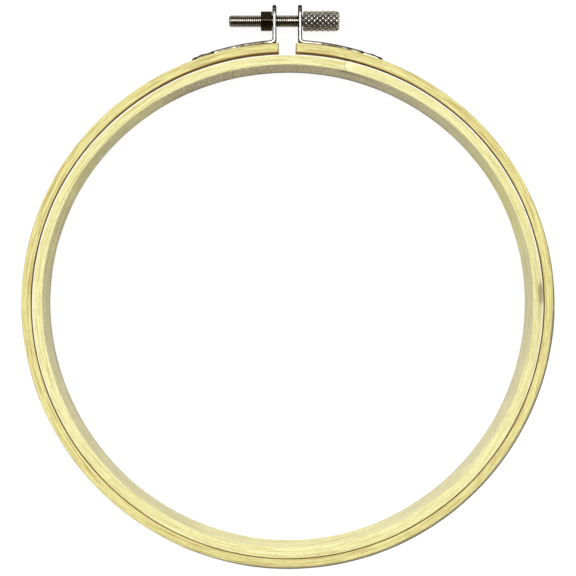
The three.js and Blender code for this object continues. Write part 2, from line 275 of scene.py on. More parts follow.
class Graph:
    """Builds one material's nodes."""

    def __init__(self, name):
        self.material = bpy.data.materials.new(name)
        self.material.use_nodes = True
        self.tree = self.material.node_tree
        self.tree.nodes.clear()
        self.output = self.add("ShaderNodeOutputMaterial")
        self.shader = self.add("ShaderNodeBsdfPrincipled")
        self.feed(self.output.inputs["Surface"], self.shader.outputs["BSDF"])

    def add(self, kind, **settings):
        node = self.tree.nodes.new(kind)
        for key, value in settings.items():
            setattr(node, key, value)
        return node

    def feed(self, socket, value):
        if isinstance(value, bpy.types.NodeSocket):
            self.tree.links.new(value, socket)
        else:
            socket.default_value = value

    def fill(self, node, **values):
        """Feeds a node's sockets, with underscores for the spaces in their names."""
        for name, value in values.items():
            self.feed(node.inputs[name.replace("_", " ")], value)
        return node.outputs

    def set(self, **values):
        self.fill(self.shader, **values)

    def attribute(self, name, output="Fac"):
        return self.add("ShaderNodeAttribute", attribute_name=name).outputs[output]

    def math(self, operation, first, second):
        node = self.add("ShaderNodeMath", operation=operation)
        self.feed(node.inputs[0], first)
        self.feed(node.inputs[1], second)
        return node.outputs[0]

    def times(self, first, second):
        return self.math("MULTIPLY", first, second)

    def between(self, value, low, high):
        """Smooth step from 0 at low to 1 at high."""
        node = self.add("ShaderNodeMapRange", interpolation_type="SMOOTHSTEP")
        return self.fill(node, Value=value, From_Min=low, From_Max=high)["Result"]

    def mix(self, factor, first, second):
        node = self.add("ShaderNodeMix", data_type="RGBA")
        self.feed(node.inputs[0], factor)
        self.feed(node.inputs[6], first)
        self.feed(node.inputs[7], second)
        return node.outputs[2]

    def stretched(self, vector, across):
        """The vector divided by a feature size on each axis."""
        node = self.add("ShaderNodeVectorMath", operation="MULTIPLY")
        self.feed(node.inputs[0], vector)
        node.inputs[1].default_value = tuple(1 / size for size in across)
        return node.outputs[0]

    def noise(self, vector, detail=2.0, roughness=0.5):
        node = self.add("ShaderNodeTexNoise")
        return self.fill(node, Vector=vector, Scale=1.0, Detail=detail,
                         Roughness=roughness)["Fac"]

    def cells(self, vector, randomness):
        node = self.add("ShaderNodeTexVoronoi")
        return self.fill(node, Vector=vector, Scale=1.0, Randomness=randomness)["Distance"]

    def bump(self, height, distance, strength):
        node = self.add("ShaderNodeBump")
        return self.fill(node, Height=height, Distance=distance * MM,
                         Strength=strength)["Normal"]


def bamboo(name, pale, middle, dark, skin_and_shadow, wall, edge, rim):
    """Bamboo strip. The strip attribute holds millimetres along the strip, across the wall
    from its inner side, and up from the back face. Edge is the front edge on the inner side,
    as colour, strength and width: a darker band that is partly the bamboo's own edge and
    partly painted shade. Rim is the one on the outer side, as colour, strength and where it
    starts across the wall: a painted highlight on the inner ring and a slightly darker band on
    the outer ring. The skin colour on the outer ring carries a painted shadow along its outer
    edge."""
    g = Graph(name)
    strip = g.attribute("strip", "Vector")
    split = g.add("ShaderNodeSeparateXYZ")
    g.feed(split.inputs[0], strip)
    across = split.outputs["Y"]

    streak = g.noise(g.stretched(strip, (15, 0.34, 0.7)), detail=3, roughness=0.6)
    fibre = g.noise(g.stretched(strip, (5, 0.24, 0.3)), detail=3, roughness=0.65)
    drift = g.noise(g.stretched(strip, (45, 1.6, 3.0)), detail=2)
    fleck = g.noise(g.stretched(strip, (1.8, 0.26, 0.3)), detail=1)

    smooth = g.attribute("smooth")
    contrast = g.math("SUBTRACT", 1.0, g.times(smooth, 0.75))
    streaks = g.times(g.between(streak, 0.48, 0.62), contrast)
    colour = g.mix(g.between(drift, 0.3, 0.7), middle, pale)
    colour = g.mix(g.times(streaks, 0.75), colour, dark)
    colour = g.mix(g.times(g.between(fibre, 0.48, 0.72), 0.5), colour, dark)
    colour = g.mix(g.times(g.between(fibre, 0.50, 0.30), 0.55), colour, pale)
    flecks = g.times(g.between(fleck, 0.64, 0.70), contrast)
    colour = g.mix(g.times(flecks, 0.5), colour, srgb(176, 146, 78))

    wall_side = g.between(across, 0.28, 0.02)
    wall_tone = g.mix(g.times(g.between(streak, 0.42, 0.62), 0.8), wall,
                      tuple(0.74 * c for c in wall[:3]) + (1,))
    pores = g.noise(g.stretched(strip, (0.5, 0.55, 1.2)), detail=1, roughness=0.6)
    # Brown and grey pores on the wall, and painted shade that darkens it where the mask is strong
    pores_and_shade = g.attribute("pores_and_shade")
    brown = g.times(g.between(pores, 0.53, 0.57), pores_and_shade)
    wall_tone = g.mix(brown, wall_tone, srgb(160, 116, 46))
    grey = g.times(g.between(pores, 0.46, 0.40), 0.8)
    wall_tone = g.mix(g.times(grey, pores_and_shade), wall_tone, srgb(158, 154, 134))
    wall_tone = g.mix(g.times(pores_and_shade, 0.3), wall_tone, srgb(158, 142, 92))
    # Painted shade along the wall's back edge, strongest on the upper left
    wall_tone = g.mix(g.attribute("dirt_and_shade"), wall_tone, srgb(112, 106, 88))
    colour = g.mix(wall_side, colour, wall_tone)
    front = g.between(split.outputs["Z"], RING_DEPTH - 1.4, RING_DEPTH - 0.4)
    # The inner-side front edge: a darker band, partly the bamboo's own edge and partly painted
    # shade
    edge_start = g.times(g.attribute("edge"), edge[2])
    edge_side = g.times(g.between(across, edge_start, g.times(edge_start, 0.3)), front)
    colour = g.mix(g.times(edge_side, edge[1]), colour, edge[0])
    # The rim: a painted highlight on the inner ring's outer front edge, a slightly darker band on
    # the outer ring
    rim_side = g.times(g.between(across, rim[2], rim[2] + 0.22), front)
    rim_side = g.times(rim_side, g.attribute("rim"))
    colour = g.mix(g.times(rim_side, rim[1]), colour, rim[0])
    # The outer side's tone, which on the outer ring carries a painted shadow along its outer front
    # edge
    colour = g.mix(g.attribute("skin_and_shadow"), colour, skin_and_shadow)

    colour = g.mix(g.attribute("patch"), colour, srgb(252, 249, 206))
    stain = g.attribute("stain")
    broken = g.between(fibre, 0.3, 0.65)
    colour = g.mix(g.times(stain, g.math("ADD", 0.6, g.times(broken, 0.4))),
                   colour, srgb(140, 122, 78))
    colour = g.mix(g.attribute("line"), colour, srgb(92, 66, 34))

    bundle = g.cells(g.stretched(strip, (50, 0.42, 0.42)), randomness=0.9)
    bundles = g.times(g.between(bundle, 0.36, 0.16), 0.6)
    end_colour = g.mix(bundles, srgb(148, 128, 82), srgb(90, 68, 38))
    colour = g.mix(g.attribute("end"), colour, end_colour)

    height = g.math("ADD", g.times(fibre, 0.6), g.times(streak, 0.4))
    height = g.math("SUBTRACT", height, g.times(flecks, 0.4))
    g.set(Base_Color=colour, Specular_IOR_Level=0.3,
          Roughness=g.math("ADD", 0.46, g.times(fibre, 0.22)),
          Normal=g.bump(height, 0.035, 0.8))
    return g.material


def plated_metal(name, base, tarnish, roughness, along, dirt_and_shade=srgb(30, 22, 12)):
    """Nickel-plated steel. Along is the feature size in millimetres of the tool marks on each
    axis. One attribute paints shade into grooves, bores, rounded edges and ends, and the other
    makes the plating rougher and darker in patches. The darkest colour is used for dark specks
    and for that painted shade."""
    g = Graph(name)
    place = g.add("ShaderNodeTexCoord").outputs["Object"]
    marks = g.noise(g.stretched(place, tuple(size * MM for size in along)), detail=4,
                    roughness=0.6)
    cloud = g.noise(g.stretched(place, (1.9 * MM,) * 3), detail=4, roughness=0.55)
    specks = g.noise(g.stretched(place, (0.16 * MM,) * 3), detail=2)
    painted_shade, dull_plating = g.attribute("painted_shade"), g.attribute("dull_plating")

    colour = g.mix(g.times(g.between(cloud, 0.45, 0.75), 0.55), base, tarnish)
    colour = g.mix(g.times(g.between(marks, 0.4, 0.75), 0.25), colour, tarnish)
    colour = g.mix(g.times(g.between(specks, 0.66, 0.76), 0.5), colour, dirt_and_shade)
    colour = g.mix(g.times(dull_plating, 0.8), colour, tarnish)
    # Painted shade: hollows, bores, rounded edges and ends go nearly black
    colour = g.mix(g.times(g.between(painted_shade, 0.15, 0.95), 0.97), colour, dirt_and_shade)
    rough = g.math("ADD", roughness, g.times(g.between(cloud, 0.35, 0.8), 0.16))
    rough = g.math("ADD", rough, g.times(painted_shade, 0.12))
    rough = g.math("ADD", rough, g.times(dull_plating, 0.4))
    height = g.math("ADD", marks, g.times(specks, -0.3))
    g.set(Base_Color=colour, Metallic=1.0, Roughness=rough, Specular_Tint=srgb(120, 108, 88),
          Normal=g.bump(height, 0.012, 0.7))
    return g.material


# Mesh helpers


def signed_volume(points, faces):
    total = 0.0
    for face in faces:
        first = points[face[0]]
        for second, third in zip(face[1:-1], face[2:]):
            total += np.dot(first, np.cross(points[second], points[third]))
    return total


def mesh_piece(name, points, faces, sharp=32.0):
    """A closed mesh as an object in the frame, with its faces turned outwards."""
    points = np.asarray(points, float)
    if signed_volume(points, faces) < 0:
        faces = [tuple(reversed(face)) for face in faces]
    moved = (points + (0, HOOP_CENTRE_Y, 0)) * MM
    mesh = bpy.data.meshes.new(name)
    mesh.from_pydata(moved.tolist(), [], faces)
    mesh.validate()
    smooth(mesh, sharp)
    return add_object(name, mesh)


def smooth(mesh, sharp):
    mesh.shade_smooth()
    mesh.set_sharp_from_angle(angle=math.radians(sharp))
    mesh.update()


def grid_faces(rows, columns, wrap_rows=False, wrap_columns=True):
    """Quads between the points of a grid that is stored row by row."""
    faces = []
    for row in range(rows if wrap_rows else rows - 1):
        for column in range(columns if wrap_columns else columns - 1):
            after, beside = (row + 1) % rows, (column + 1) % columns
            faces.append((row * columns + column, row * columns + beside,
                          after * columns + beside, after * columns + column))
    return faces


def paint(mesh, name, values):
    """A number for each point of the mesh, or one for them all, for its material."""
    layer = mesh.attributes.new(name, "FLOAT", "POINT")
    layer.data.foreach_set("value", np.full(len(layer.data), values, np.float32))


def hoop_points(mesh):
    """The mesh's points in millimetres from the hoop's centre."""
    flat = np.empty(3 * len(mesh.vertices))
    mesh.vertices.foreach_get("co", flat)
    return flat.reshape(-1, 3) / MM - (0, HOOP_CENTRE_Y, 0)


def finish_piece(piece, material, body, slot, *nodes):
    piece.data.materials.clear()
    piece.data.materials.append(material)
    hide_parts(*nodes)
    if body:
        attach(piece, body)


def cut_away(piece, tools):
    """Cuts a list of tool objects out of a piece."""
    for tool in tools:
        modifier = piece.modifiers.new("cut", "BOOLEAN")
        modifier.object = tool
        modifier.solver = "EXACT"
    bpy.context.view_layer.update()
    evaluated = piece.evaluated_get(bpy.context.evaluated_depsgraph_get())
    mesh = bpy.data.meshes.new_from_object(evaluated)
    piece.modifiers.clear()
    piece.data = mesh
    mesh.name = piece.name
    for tool in tools:
        bpy.data.objects.remove(tool)


def capped_grid(rows, columns):
    """Faces of a tube of rows, closed by a fan at each end. The two end points come last."""
    faces = grid_faces(rows, columns)
    first = rows * columns
    for column in range(columns):
        beside = (column + 1) % columns
        faces.append((first, beside, column))
        faces.append((first + 1, first - columns + column, first - columns + beside))
    return faces


def turned(profile, steps, axis):
    """Points and faces of (radius, distance) pairs turned about a level axis that starts at
    the hoop's centre, halfway up. The profile starts and ends on the axis."""
    axis, up = Vector(axis), Vector((0, 0, 1))
    side = axis.cross(up)
    centre = CLAMP_MIDDLE * up
    points = []
    for radius, along in profile[1:-1]:
        for step in range(steps):
            turn = math.tau * step / steps
            offset = side * math.cos(turn) + up * math.sin(turn)
            points.append(tuple(centre + axis * along + offset * radius))
    points += [tuple(centre + axis * along) for radius, along in (profile[0], profile[-1])]
    return points, capped_grid(len(profile) - 2, steps)


# Rings


def strip_section(wall, inner_corner, outer_corner, inset=0.0):
    """[(across, up, normal across, normal up)] round the section of a strip, whose corners
    have one radius on the hoop's inner side and one on its outer side."""
    corner_steps, wall_steps, depth_steps = 5, 9, 16
    inner_corner = max(inner_corner - inset, 0.04)
    outer_corner = max(outer_corner - inset, 0.04)
    inner, outer = inset + inner_corner, inset + outer_corner
    centres = [(wall - outer, outer, -90, outer_corner),
               (wall - outer, RING_DEPTH - outer, 0, outer_corner),
               (inner, RING_DEPTH - inner, 90, inner_corner),
               (inner, inner, 180, inner_corner)]
    section = []
    for index, (across, up, start, corner) in enumerate(centres):
        for step in range(corner_steps + 1):
            turn = math.radians(start + 90 * step / corner_steps)
            normal = (math.cos(turn), math.sin(turn))
            section.append((across + corner * normal[0], up + corner * normal[1], *normal))
        after = centres[(index + 1) % 4]
        end = (after[0] + after[3] * normal[0], after[1] + after[3] * normal[1])
        steps = depth_steps if index % 2 == 0 else wall_steps
        for between in np.linspace(section[-1][:2], end, steps + 1)[1:-1]:
            section.append((*between.tolist(), *normal))
    return section


def unit(value):
    """The value held between 0 and 1."""
    return np.clip(value, 0, 1)


def away_from(turn, middle=0):
    """How many degrees a turn lies from the clamp, or from another angle, either way."""
    return np.abs((np.degrees(turn) - middle + 180) % 360 - 180)


def ring_bulge(turn):
    """How far both rings stand out from the oval. It fades out under the brackets."""
    fade = unit(away_from(turn) / 25 - 1)
    return fade ** 2 * (3 - 2 * fade) * (0.05 * np.sin(3 * turn) - 0.19 * np.cos(3 * turn))


def clamp_dip(turn):
    """How far the inner ring is drawn in at the clamp."""
    return -0.2 * np.exp(-(away_from(turn) / 24) ** 2)


def hoop_place(radius, turn, height):
    """A ring's point at a nominal radius and at an angle from +Y towards +X."""
    radius += ring_bulge(turn)
    return (radius * math.sin(turn) * ACROSS, radius * math.cos(turn) * ALONG, height)


def ring_polar(points):
    """Angle from +Y towards +X and nominal radius of points on a ring."""
    x, y = points[:, 0] / ACROSS, points[:, 1] / ALONG
    turn = np.arctan2(x, y)
    return turn, np.hypot(x, y) - ring_bulge(turn)


def wander(turn, coarse, fine, seed):
    """A slow and a quick waviness, from 0 to 1, that closes on itself round the hoop."""
    slow = noise.noise(Vector((coarse * math.sin(turn), coarse * math.cos(turn), seed)))
    quick = noise.noise(Vector((fine * math.sin(turn), fine * math.cos(turn), seed + 7.3)))
    return float(unit(0.5 + 0.6 * slow + 0.3 * quick))


def lay_strip(mesh, inner_radius, joined=False):
    """Writes each corner's place on the strip, in millimetres: along from the clamp, or on a
    joined strip from its scarf, across the wall from its inner side, and up."""
    points = hoop_points(mesh)
    turn, radius = ring_polar(points)
    if joined:
        radius -= clamp_dip(turn)
        turn -= SCARF_TURN + scarf_lean(radius - inner_radius)
    corners = np.empty(len(mesh.loops), np.int32)
    mesh.loops.foreach_get("vertex_index", corners)
    strip = np.empty((len(corners), 3), np.float32)
    for face in mesh.polygons:
        loops = range(face.loop_start, face.loop_start + face.loop_total)
        turns = turn[corners[loops]]
        turns = turns[0] + (turns - turns[0] + math.pi) % math.tau - math.pi
        turns += (turns.mean() % math.tau) - turns.mean()
        strip[loops, 0] = turns * inner_radius
    strip[:, 1] = radius[corners] - inner_radius
    strip[:, 2] = points[corners, 2]
    layer = mesh.attributes.new("strip", "FLOAT_VECTOR", "CORNER")
    layer.data.foreach_set("vector", strip.ravel())


def scarf_lean(across):
    """How far the joint's line runs round from its nominal angle, in radians."""
    bow = ((across - 1.5) / 1.45) ** 2
    return (0.55 * bow - 0.25 * (across - 1.5)) / SCARF_RADIUS


def blob(along, across, length, width):
    return np.exp(-(along / length) ** 2 - (across / width) ** 2)


def make_inner_ring(material):
    """One strip bent round and joined with a scarf to the right of the clamp."""
    fine = [SCARF_FINE_STEP / SCARF_RADIUS * step for step in range(SCARF_FINE_STEPS)]
    coarse = np.arange(fine[-1] + 0.6 / SCARF_RADIUS, math.tau - fine[-1] - 0.3 / SCARF_RADIUS,
                       GRID_STEP / SCARF_RADIUS)
    offsets = [*fine, *coarse, *(math.tau - offset for offset in reversed(fine[1:]))]
    points = []
    for offset in offsets:
        turn = SCARF_TURN + offset
        near = min(offset, math.tau - offset) * SCARF_RADIUS
        inner_corner = 0.16 + 0.1 * wander(turn, 4, 18, 2.0)
        outer_corner = 0.13 + 0.04 * math.cos(turn) + 0.2 * wander(turn, 3, 14, 1.0)
        thin = inner_wall_change(turn)
        dip = clamp_dip(turn)
        flat = 0.05 * wander(turn, 5, 24, 4.0)
        section = strip_section(INNER_RING_WALL, inner_corner, outer_corner)
        for across, up, out_across, out_up in section:
            lean = scarf_lean(across) * max(0.0, 1 - near / 5)
            inward = 0.09 * wander(turn, 6, 30, 9.0 + 2 * out_across) * abs(out_across)
            groove = scarf_groove(offset, up)
            radius = INNER_RING_RADIUS + across - (inward + groove) * out_across
            radius += thin * (1 - across / INNER_RING_WALL) + dip
            radius -= (0.03 + 0.09 * math.cos(turn)) * across / INNER_RING_WALL
            height = up - (flat * abs(out_up) + groove) * out_up
            points.append(hoop_place(radius, turn + lean, height))
    columns = len(points) // len(offsets)
    faces = grid_faces(len(offsets), columns, wrap_rows=True)
    ring = mesh_piece("inner_ring_strip", points, faces)
    mesh = ring.data
    lay_strip(mesh, INNER_RING_RADIUS, joined=True)
    paint_inner_ring(mesh)
    finish_piece(ring, material, "inner_hoop", "inner_bamboo", "inner_ring")


def inner_wall_change(turn):
    """How far the inner side lies outside its nominal radius, in millimetres."""
    return 0.02 - 0.12 * math.cos(3 * turn - 0.1) + 0.03 * math.sin(7 * turn)


def scarf_groove(offset, up):
    """Depth of the glue line that shows across the front face at the joint."""
    along = (offset if offset < math.pi else offset - math.tau) * SCARF_RADIUS
    if abs(along) > 1 or up < 4:
        return 0.0
    return 0.05 * math.exp(-(along / 0.13) ** 2)


def paint_inner_ring(mesh):
    points = hoop_points(mesh)
    turn, radius = ring_polar(points)
    across = radius - clamp_dip(turn) - INNER_RING_RADIUS
    up = points[:, 2]
    wall = np.array([inner_wall_change(value) for value in turn])
    on_wall = across < 0.12 + np.maximum(wall, 0)
    front = up > RING_DEPTH - 0.6
    along = SCARF_RADIUS * (turn - SCARF_TURN - scarf_lean(across))
    to_right = unit((along + 0.3) / 0.6)
    smoothed = to_right * np.exp(-np.maximum(along, 0) / 22)

    # On the front at the right: a dark stain, a paler one beside it and a faint long one
    mark = SCARF_RADIUS * (turn - math.radians(87.3))
    stain = unit(2.6 * blob(mark, across - 2.35, 2.5, 0.55)) * front
    stain += 0.45 * blob(mark - 5, across - 1.9, 3.0, 0.35) * front
    stain += 0.14 * unit((np.cos(turn - math.radians(88)) - 0.95) / 0.03) * front

    # At the scarf: the darkened wall, the glue line and a crack that runs down the wall
    zone = np.where(along > 0, np.exp(-(along / 7.5) ** 2), np.exp(-(along / 2.2) ** 2))
    height = unit((up - 5.0) / 3.0)
    stain += 0.75 * zone * height * on_wall
    line = np.exp(-(along / 0.14) ** 2) * (up > 4) * 0.35
    crack_up = RING_DEPTH - 0.35 - 0.16 * (along + 3.4)
    crack = np.exp(-((up - crack_up) / 0.22) ** 2) * on_wall
    crack *= (along > -3.4) * (along < 0.8)

    paint(mesh, "stain", unit(stain))
    paint(mesh, "line", np.maximum(line, 0.85 * crack))
    paint(mesh, "smooth", smoothed)
    paint(mesh, "patch", 0.9 * blob(along - 1.2, across - 1.6, 1.3, 0.75) * (along > 0) * front)
    for name in ("skin_and_shadow", "end"):
        paint(mesh, name, 0)
    away = away_from(turn, -30)
    upper = np.clip((120 - away) / 70, 0.15, 1)
    # Painted shade along the inner wall's back edge, strongest on the upper left
    paint(mesh, "dirt_and_shade", upper * unit((1.5 - up) / 0.9) * on_wall)
    # Pores all round the inner wall, and painted shade that darkens its upper-left side
    pored = 0.25 + 0.65 * unit((75 - away) / 50)
    paint(mesh, "pores_and_shade", on_wall * pored)
    # Painted highlight on the outer front edge, strongest at the clamp and gone at the bottom
    paint(mesh, "rim", 0.05 + 0.95 * unit((135 - away_from(turn)) / 70))
    paint(mesh, "edge", 1)


def make_outer_ring(material):
    """One strip bent round the inner ring and split at the clamp, with its rivet holes."""
    rounding = 0.3
    middle = OUTER_RING_RADIUS + OUTER_RING_WALL / 2
    half = math.asin(SPLIT_WIDTH / 2 / (middle * ACROSS))
    length = (math.tau - 2 * half) * middle
    ends = [0.0, 0.02, 0.06, 0.12, 0.2, 0.3]
    count = int((length - 1.2) / GRID_STEP)
    distances = ends + [0.6 + (length - 1.2) * index / count for index in range(count + 1)]
    distances += [length - distance for distance in reversed(ends)]
    points = []
    for distance in distances:
        near = min(distance, length - distance)
        short = max(0.0, rounding - near)
        inset = rounding - math.sqrt(rounding ** 2 - short ** 2)
        share = distance / length
        about = half + share * (math.tau - 2 * half)
        inner_corner = 0.1 + 0.04 * math.cos(about) + 0.14 * wander(about, 4, 20, 22.0)
        outer_corner = 0.3 + 0.16 * wander(about, 3, 16, 21.0)
        flat = 0.05 * wander(about, 5, 26, 25.0)
        fade = min(1.0, near / 3)
        section = strip_section(OUTER_RING_WALL, inner_corner, outer_corner, inset)
        for across, up, out_across, out_up in section:
            inward = 0.08 * fade * wander(about, 6, 30, 30.0 + 2 * out_across) * abs(out_across)
            radius = OUTER_RING_RADIUS + across - inward * out_across
            # The outer side stands out by up to 0.15 mm where the painted shadow is strongest
            radius += 0.15 * painted_shadow_weight(about) * across / OUTER_RING_WALL
            end = math.asin(SPLIT_WIDTH / 2 / (radius * ACROSS))
            turn = end + share * (math.tau - 2 * end)
            points.append(hoop_place(radius, turn, up - flat * fade * abs(out_up) * out_up))
    columns = len(points) // len(distances)
    faces = grid_faces(len(distances), columns)
    faces.append(tuple(range(columns)))
    faces.append(tuple(reversed(range(len(points) - columns, len(points)))))
    ring = mesh_piece("outer_ring_strip", points, faces)
    cut_away(ring, [rivet_cutter(side, reach) for side in SIDES
                    for reach in RIVET_REACHES.values()])
    mesh = ring.data
    smooth(mesh, 32)
    lay_strip(mesh, OUTER_RING_RADIUS)
    paint_outer_ring(mesh)
    finish_piece(ring, material, None, "outer_bamboo", "outer_ring")
    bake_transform(ring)


def painted_shadow_weight(turn):
    """How strong the painted shadow on the outer side is, from 0 to 1: strongest away from the
    clamp and to the right.
    """
    degrees = np.degrees(turn) % 360
    return unit((degrees - 55) / 40) * unit((212 - degrees) / 25)


def paint_outer_ring(mesh):
    points = hoop_points(mesh)
    turn, radius = ring_polar(points)
    across = radius - OUTER_RING_RADIUS
    from_split = np.abs(points[:, 0]) - SPLIT_WIDTH / 2
    # The end grain's colour, carried onto the rounded corners by the split as painted shade
    paint(mesh, "end", unit(1.2 - from_split / 0.35) * (points[:, 1] > 0))
    # A painted shadow along the outer front edge, darkest away from the clamp and to the right,
    # over the bamboo skin's darker tone
    dark = painted_shadow_weight(turn)
    skin_and_shadow = unit((across - OUTER_RING_WALL + 0.3 + 0.35 * dark) / 0.25)
    front = unit((points[:, 2] - RING_DEPTH + 1.2) / 0.6)
    paint(mesh, "skin_and_shadow", skin_and_shadow * np.maximum(front * (0.3 + 0.7 * dark), 0.12))
    # The inner front edge's darker band, partly painted shade, wider near the clamp and on the
    # left
    near = unit((60 - away_from(turn)) / 45)
    paint(mesh, "edge", 0.3 + np.where(points[:, 0] < 0, 1.1, 0.65) * near ** 1.5)
    paint(mesh, "rim", 1)
    # The outer ring is a little darker towards the lower right
    below = np.cos(turn - math.radians(162))
    paint(mesh, "stain", 0.09 * unit((below - 0.5) / 0.3))
    paint(mesh, "pores_and_shade", 0.3)
    for name in ("line", "smooth", "patch", "dirt_and_shade"):
        paint(mesh, name, 0)


# Rivets


def rivet_line(side, reach):
    """The outward direction of a rivet and the distances of its seats along it."""
    turn = side * math.asin(reach / (OUTER_RING_RADIUS + OUTER_RING_WALL))
    stretch = math.hypot(math.sin(turn) / ACROSS, math.cos(turn) / ALONG)
    return (math.sin(turn), math.cos(turn), 0.0), lambda radius: radius / stretch


def rivet_cutter(side, reach):
    direction, along = rivet_line(side, reach)
    hole, recess = RIVET_HOLE_RADIUS, 1.6
    inner = along(OUTER_RING_RADIUS)
    outer = along(OUTER_RING_RADIUS + OUTER_RING_WALL)
    profile = [(0, inner - 1), (recess, inner - 1), (recess, inner + 0.7), (hole, inner + 0.8),
               (hole, outer + 1), (0, outer + 1)]
    points, faces = turned(profile, 40, direction)
    return mesh_piece("rivet_hole", points, faces)


def make_rivet(side, place, material):
    direction, along = rivet_line(side, RIVET_REACHES[place])
    tail = along(OUTER_RING_RADIUS) + 0.1
    seat = along(FOOT_RADIUS + SHEET) + 0.1
    shank, head, tail_radius = 0.9, 1.5, 1.4
    profile = [(0, tail + 0.16), (0.35, tail + 0.13), (0.75, tail + 0.02), (1.15, tail),
               (tail_radius - 0.05, tail + 0.06), (tail_radius, tail + 0.16),
               (tail_radius - 0.12, tail + 0.27), (shank + 0.1, tail + 0.38),
               (shank, tail + 0.46), (shank, seat), (head - 0.08, seat), (head, seat + 0.07)]
    rise, steps = 0.28, 9
    for step in range(1, steps + 1):
        turn = math.pi / 2 * step / steps
        profile.append((head * math.cos(turn), seat + 0.07 + rise * math.sin(turn)))
    points, faces = turned(profile, 48, direction)
    name, body = SIDES[side]
    rivet = mesh_piece(f"{name}_{place}_rivet_turned", points, faces)
    paint(rivet.data, "painted_shade", 0)
    finish_piece(rivet, material, body, "rivet_steel", f"{name}_{place}_rivet")


# Brackets


def arc(centre, radius, start, end, steps):
    """Points on an arc, angles in degrees."""
    turns = [math.radians(start + (end - start) * step / steps) for step in range(steps + 1)]
    return [(centre[0] + radius * math.cos(turn), centre[1] + radius * math.sin(turn))
            for turn in turns]


def bracket_path():
    """Where the blank's length runs: the lug, the bend, then along the ring. Gives a
    function that places the blank's points, one that turns a reach from the clamp into a
    distance along the blank, and the distances where the bend starts and ends."""
    bend_x = LUG_INNER_FACE + SHEET + BEND_INSIDE
    outside = FOOT_RADIUS + SHEET + BEND_INSIDE
    bend_y = ALONG * math.sqrt(outside ** 2 - (bend_x / ACROSS) ** 2)
    bend_turn = math.pi / 2 - math.atan2(bend_x, bend_y)
    lug_length = LUG_TOP - bend_y
    middle = BEND_INSIDE + SHEET / 2
    foot_start = lug_length + bend_turn * middle
    foot_x = bend_x - (BEND_INSIDE + SHEET) * math.cos(bend_turn)
    first_turn = math.asin(foot_x / (FOOT_RADIUS * ACROSS))
    foot_middle = (FOOT_RADIUS + SHEET / 2) * ACROSS

    def place(along, width, up):
        """A point of the blank, bent. Up is the height over the face next to the ring."""
        if along < lug_length:
            return (LUG_INNER_FACE + up, LUG_TOP - along, width)
        if along < foot_start:
            turn = (along - lug_length) / middle
            radius = BEND_INSIDE + SHEET - up
            return (bend_x - radius * math.cos(turn), bend_y - radius * math.sin(turn), width)
        turn = first_turn + (along - foot_start) / foot_middle
        radius = FOOT_RADIUS + up
        return (radius * ACROSS * math.sin(turn), radius * ALONG * math.cos(turn), width)

    def along_at(reach):
        turn = math.asin(reach / (FOOT_RADIUS + SHEET / 2) / ACROSS)
        return foot_start + (turn - first_turn) * foot_middle

    return place, along_at, lug_length, foot_start


def blank_outline(taper_start, foot_end, tongue_end):
    """The flat blank's outline, from the lug's top to the tongue's end, counter-clockwise."""
    half, foot_half, narrow = BRACKET_WIDTH / 2, FOOT_END_WIDTH / 2, TONGUE_WIDTH / 2
    outer = inner = (FOOT_END_WIDTH - TONGUE_WIDTH) / 4
    outline = arc((LUG_CORNER, -half + LUG_CORNER), LUG_CORNER, 180, 270, 14)
    foot_side = ((taper_start, -half), (foot_end - outer, -foot_half))
    outline += [tuple(point) for point in np.linspace(*foot_side, 25)[:-1]]
    outline += arc((foot_end - outer, -foot_half + outer), outer, -90, 0, 6)
    outline += arc((foot_end + inner, -narrow - inner), inner, 180, 90, 6)[1:]
    tongue_side = ((foot_end + inner, -narrow), (tongue_end - TONGUE_CORNER, -narrow))
    outline += [tuple(point) for point in np.linspace(*tongue_side, 9)[1:-1]]
    outline += arc((tongue_end - TONGUE_CORNER, -narrow + TONGUE_CORNER), TONGUE_CORNER, -90, 0, 8)
    outline += [(along, -width) for along, width in reversed(outline)]
    return outline


def blank_solid(loops, rounding):
    """Points and faces of a sheet cut along the loops, with rounded edges. The first loop is
    the outline and the others are holes, turned the other way. Rounding gives the radius at a
    distance along the sheet. The rims are the loops' points on each flat face."""
    steps = 5
    levels = []
    for step in range(steps + 1):
        turn = math.pi / 2 * step / steps
        levels.append((1 - math.sin(turn), 1 - math.cos(turn), 0))
    levels += [(inset, -up, 1) for inset, up, side in reversed(levels)]
    points, faces, rims = [], [], {0: [], len(levels) - 1: []}
    for loop in loops:
        flat = np.asarray(loop, float)
        before, after = np.roll(flat, 1, axis=0), np.roll(flat, -1, axis=0)
        into = (flat - before) / np.linalg.norm(flat - before, axis=1)[:, None]
        out = (after - flat) / np.linalg.norm(after - flat, axis=1)[:, None]
        left = np.stack([-(into + out)[:, 1], (into + out)[:, 0]], axis=1)
        left /= (np.linalg.norm(left, axis=1) ** 2)[:, None] / 2
        start = len(points)
        radii = np.array([rounding(along) for along in flat[:, 0]])
        for inset, up, side in levels:
            placed = flat + left * inset * radii[:, None]
            points += [(along, width, side * SHEET + up * radius)
                       for (along, width), radius in zip(placed, radii)]
        size = len(flat)
        faces += [tuple(start + index for index in face)
                  for face in grid_faces(len(levels), size)]
        for level, rim in rims.items():
            rim.append([start + level * size + index for index in range(size)])
    return points, faces, rims


def bracket_loops(along_at, taper_start):
    """The blank's outline, the screw's hole and the two rivets' holes."""
    outline = blank_outline(taper_start, along_at(FOOT_REACH), along_at(TONGUE_REACH))
    loops = [outline, arc((LUG_TOP - SCREW_HEIGHT, 0), SCREW_HOLE_RADIUS, 360, 0, 48)[:-1]]
    for reach in RIVET_REACHES.values():
        loops.append(arc((along_at(reach), 0), RIVET_HOLE_RADIUS, 360, 0, 32)[:-1])
    return loops


